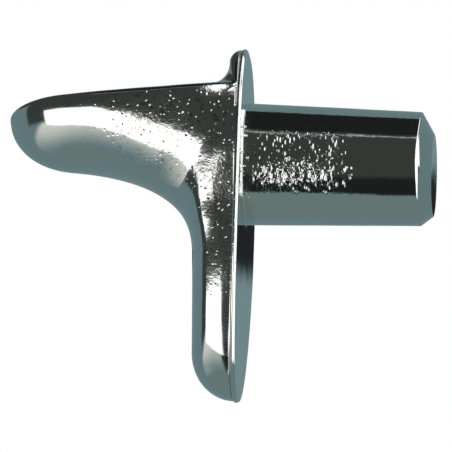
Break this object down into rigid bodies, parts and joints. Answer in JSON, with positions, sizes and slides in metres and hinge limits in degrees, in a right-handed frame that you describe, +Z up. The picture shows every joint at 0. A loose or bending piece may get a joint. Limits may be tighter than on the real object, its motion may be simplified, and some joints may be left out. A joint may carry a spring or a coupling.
{
  "type": "shelf support pin",
  "caption": "Solid metal shelf support: a round peg for a hole in a cabinet side, an oval bearing plate with a lip, and a spoon-shaped tongue that carries the shelf.",
  "frame": {"origin": "middle of the peg where it meets the flat back of the plate", "axes": "+X along the peg into the cabinet side, so the tongue reaches out along -X; +Z up, towards the lip; +Y across the plate"},
  "size_m": [0.0175, 0.008, 0.0145],
  "materials": {
    "nickel_plate": "nickel plated zinc casting, glossy, with fine pits"
  },
  "bodies": {
    "root": {"support": "nickel_plate"}
  },
  "joints": []
}
